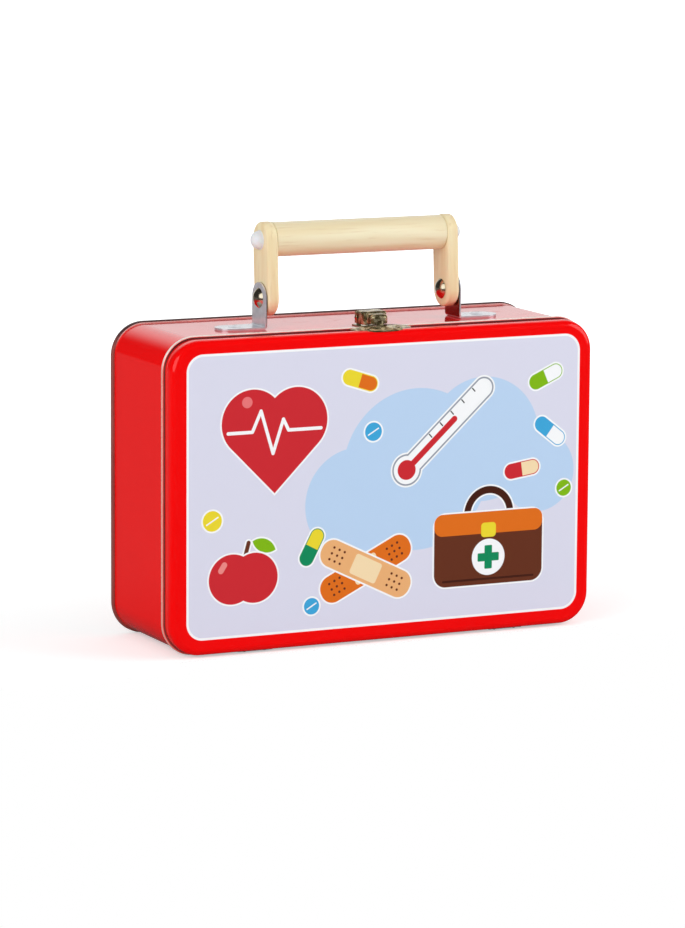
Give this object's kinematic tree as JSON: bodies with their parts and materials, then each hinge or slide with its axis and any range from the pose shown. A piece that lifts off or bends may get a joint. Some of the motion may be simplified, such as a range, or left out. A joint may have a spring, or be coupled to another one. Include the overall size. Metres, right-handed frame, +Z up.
{
  "type": "toy doctor case",
  "caption": "Tinplate carry case with a hinged lid, hooded latch and a wooden swing handle on steel brackets.",
  "frame": {"origin": "middle of the footprint, on the surface that the case stands on", "axes": "+X to the right of the lid's front, +Y from the lid to the back, +Z up to the handle"},
  "size_m": [0.2524, 0.0804, 0.2258],
  "materials": {
    "tin_red": "gloss enamel on tinplate, bare tin inside",
    "tin_print": "gloss printed tinplate with a red border",
    "bracket_steel": "bright nickel plate",
    "rivet_nickel": "polished nickel plate",
    "latch_brass": "aged brass plate, worn bright on the edges",
    "hinge_steel": "zinc plate",
    "handle_wood": "pale clear-lacquered wood",
    "screw_steel": "zinc plate",
    "cap_plastic": "white moulded plastic"
  },
  "bodies": {
    "case": {"case_wall": "tin_red", "back_panel": "tin_red", "bracket_left": "bracket_steel", "bracket_right": "bracket_steel", "bracket_rivets": "rivet_nickel", "pivot_rivet_left": "rivet_nickel", "pivot_rivet_right": "rivet_nickel", "latch_base": "latch_brass", "latch_pin": "rivet_nickel", "latch_rivets": "rivet_nickel", "hinge_pin_left": "hinge_steel", "hinge_pin_right": "hinge_steel"},
    "lid": {"lid_shell": "tin_print", "strike_plate": "latch_brass", "strike_rivets": "rivet_nickel", "hinge_loop_left": "hinge_steel", "hinge_loop_right": "hinge_steel", "hinge_rivets": "rivet_nickel"},
    "latch": {"latch_lever": "latch_brass"},
    "handle": {"handle_grip": "handle_wood", "handle_arm_left": "handle_wood", "handle_arm_right": "handle_wood", "grip_screw_left": "screw_steel", "grip_screw_right": "screw_steel", "screw_cap_left": "cap_plastic", "screw_cap_right": "cap_plastic"}
  },
  "joints": [
    {"name": "lid_hinge", "type": "hinge", "parent": "case", "child": "lid", "pos_m": [0, -0.02855, 0.0012], "axis": [1, 0, 0], "range_deg": [0, 120]},
    {"name": "latch_hinge", "type": "hinge", "parent": "case", "child": "latch", "pos_m": [0, -0.016, 0.1737], "axis": [-1, 0, 0], "range_deg": [0, 95]},
    {"name": "handle_swing", "type": "hinge", "parent": "case", "child": "handle", "pos_m": [0, -0.003, 0.1852], "axis": [1, 0, 0], "range_deg": [-97, 89]}
  ]
}
